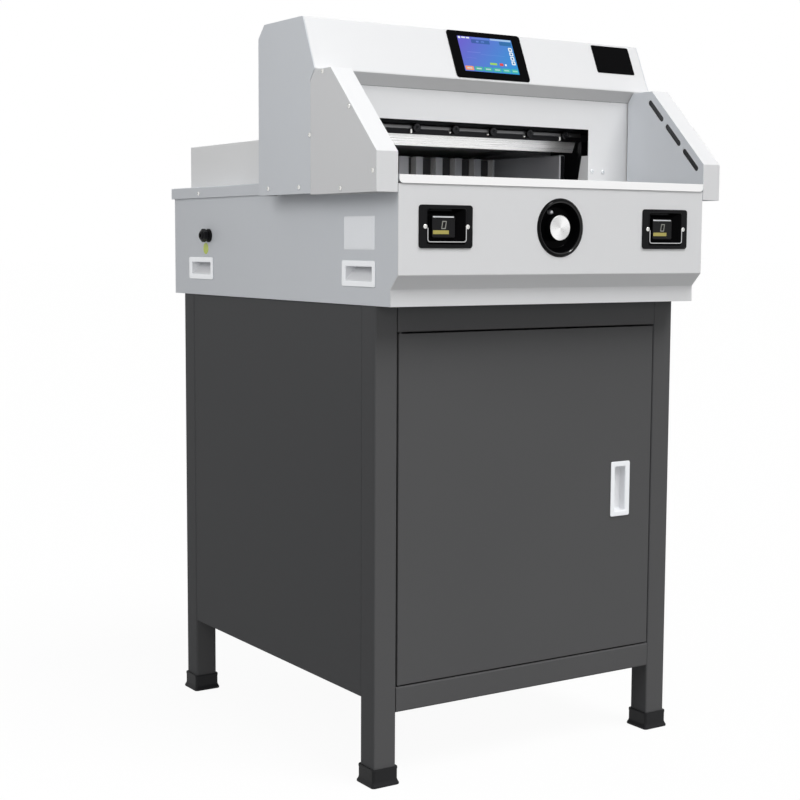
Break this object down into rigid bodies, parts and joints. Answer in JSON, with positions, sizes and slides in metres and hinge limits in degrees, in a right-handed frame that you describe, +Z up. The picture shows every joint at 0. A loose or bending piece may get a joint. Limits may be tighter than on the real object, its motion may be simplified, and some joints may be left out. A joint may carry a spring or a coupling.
{
  "type": "electric paper cutter",
  "caption": "Floor-standing electric guillotine for paper stacks, with a sloping head and display, light-guard wings, two-hand cut buttons, a handwheel and a cabinet stand",
  "frame": {"origin": "on the floor, under the middle of the overall box", "axes": "+X to the operator's right, +Y from the operator's side to the back, +Z up"},
  "size_m": [0.6734, 0.772, 1.179],
  "materials": {
    "head_paint": "light grey powder coat",
    "side_paint": "light grey powder coat",
    "stand_paint": "dark grey powder coat",
    "boot_rubber": "matt",
    "white_plastic": "satin",
    "black_plastic": "satin to gloss",
    "casting": "dark paint",
    "ground_steel": "ground",
    "table_steel": "polished plate",
    "aluminium": "fine blasted",
    "stick_plastic": "matt",
    "motor_paint": "satin",
    "display_glass": "smooth"
  },
  "bodies": {
    "machine_frame": {"base_pan": "side_paint", "body_left_panel": "side_paint", "body_rear_panel": "side_paint", "body_right_panel": "side_paint", "boot_front_left": "boot_rubber", "boot_front_right": "boot_rubber", "boot_rear_left": "boot_rubber", "boot_rear_right": "boot_rubber", "cabinet_floor": "stand_paint", "carry_cup_front_left": "white_plastic", "carry_cup_front_right": "white_plastic", "carry_cup_rear_left": "white_plastic", "carry_cup_rear_right": "white_plastic", "clamp_motor": "motor_paint", "cut_bezel_left": "black_plastic", "cut_bezel_right": "black_plastic", "cutting_stick": "stick_plastic", "front_panel": "head_paint", "front_plate": "head_paint", "front_rail_bottom": "stand_paint", "front_rail_top": "stand_paint", "gauge_motor": "motor_paint", "handwheel_dish": "black_plastic", "head_left_cover": "side_paint", "head_right_cover": "side_paint", "head_shell": "head_paint", "knife_gearmotor": "motor_paint", "leg_front_left": "stand_paint", "leg_front_right": "stand_paint", "leg_rear_left": "stand_paint", "leg_rear_right": "stand_paint", "mains_gland": "black_plastic", "press_beam": "casting", "rear_deck": "side_paint", "rear_guard": "side_paint", "screen": "display_glass", "screen_bezel": "black_plastic", "side_guide_left": "aluminium", "side_guide_right": "aluminium", "stand_left_panel": "stand_paint", "stand_rear_panel": "stand_paint", "stand_right_panel": "stand_paint", "table": "table_steel", "upright_left": "casting", "upright_right": "casting", "wing_left": "head_paint", "wing_right": "head_paint"},
    "door": {"cabinet_door": "stand_paint", "door_pull": "white_plastic"},
    "knife_beam": {"knife_carrier": "casting", "knife": "ground_steel", "pull_rod": "ground_steel"},
    "crank": {"crank_disc": "ground_steel"},
    "clamp": {"clamp": "casting"},
    "clamp_screw": {"clamp_spindle": "ground_steel"},
    "gauge": {"back_gauge": "aluminium"},
    "gauge_leadscrew": {"gauge_screw": "ground_steel"},
    "left_button": {"cut_button_left": "black_plastic"},
    "right_button": {"cut_button_right": "black_plastic"},
    "handwheel": {"handwheel_knob": "ground_steel"}
  },
  "joints": [
    {"name": "door_hinge", "type": "hinge", "parent": "machine_frame", "child": "door", "pos_m": [-0.2495, -0.313, 0.425], "axis": [0, 0, -1], "range_deg": [0, 105]},
    {"name": "knife_stroke", "type": "slide", "parent": "machine_frame", "child": "knife_beam", "axis": [0, 0, -1], "range_m": [0, 0.0599]},
    {"name": "crank_turn", "type": "hinge", "parent": "machine_frame", "child": "crank", "pos_m": [0.242, -0.131, 0.80305], "axis": [0, 1, 0], "range_deg": [0, 180]},
    {"name": "clamp_stroke", "type": "slide", "parent": "machine_frame", "child": "clamp", "axis": [0, 0, -1], "range_m": [0, 0.062]},
    {"name": "clamp_screw_turn", "type": "hinge", "parent": "machine_frame", "child": "clamp_screw", "pos_m": [0, -0.1025, 1.003], "axis": [0, 0, 1], "range_deg": [0, 2233]},
    {"name": "gauge_travel", "type": "slide", "parent": "machine_frame", "child": "gauge", "axis": [0, 1, 0], "range_m": [-0.138, 0.235]},
    {"name": "gauge_screw_turn", "type": "hinge", "parent": "machine_frame", "child": "gauge_leadscrew", "pos_m": [0, -0.098, 0.885], "axis": [0, 1, 0], "range_deg": [-4970, 8462]},
    {"name": "left_button_press", "type": "slide", "parent": "machine_frame", "child": "left_button", "axis": [0, 1, 0], "range_m": [0, 0.004], "stiffness_N_per_m": 400, "springref_m": -0.002},
    {"name": "right_button_press", "type": "slide", "parent": "machine_frame", "child": "right_button", "axis": [0, 1, 0], "range_m": [0, 0.004], "stiffness_N_per_m": 400, "springref_m": -0.002},
    {"name": "handwheel_turn", "type": "hinge", "parent": "machine_frame", "child": "handwheel", "pos_m": [0, -0.383, 0.8587], "axis": [0, 1, 0], "continuous": true}
  ],
  "couplings": [
    {"joint": "crank_turn", "follows": "knife_stroke", "rad_per_m": 52.447},
    {"joint": "clamp_screw_turn", "follows": "clamp_stroke", "rad_per_m": 628.32},
    {"joint": "gauge_screw_turn", "follows": "gauge_travel", "rad_per_m": 628.32}
  ]
}
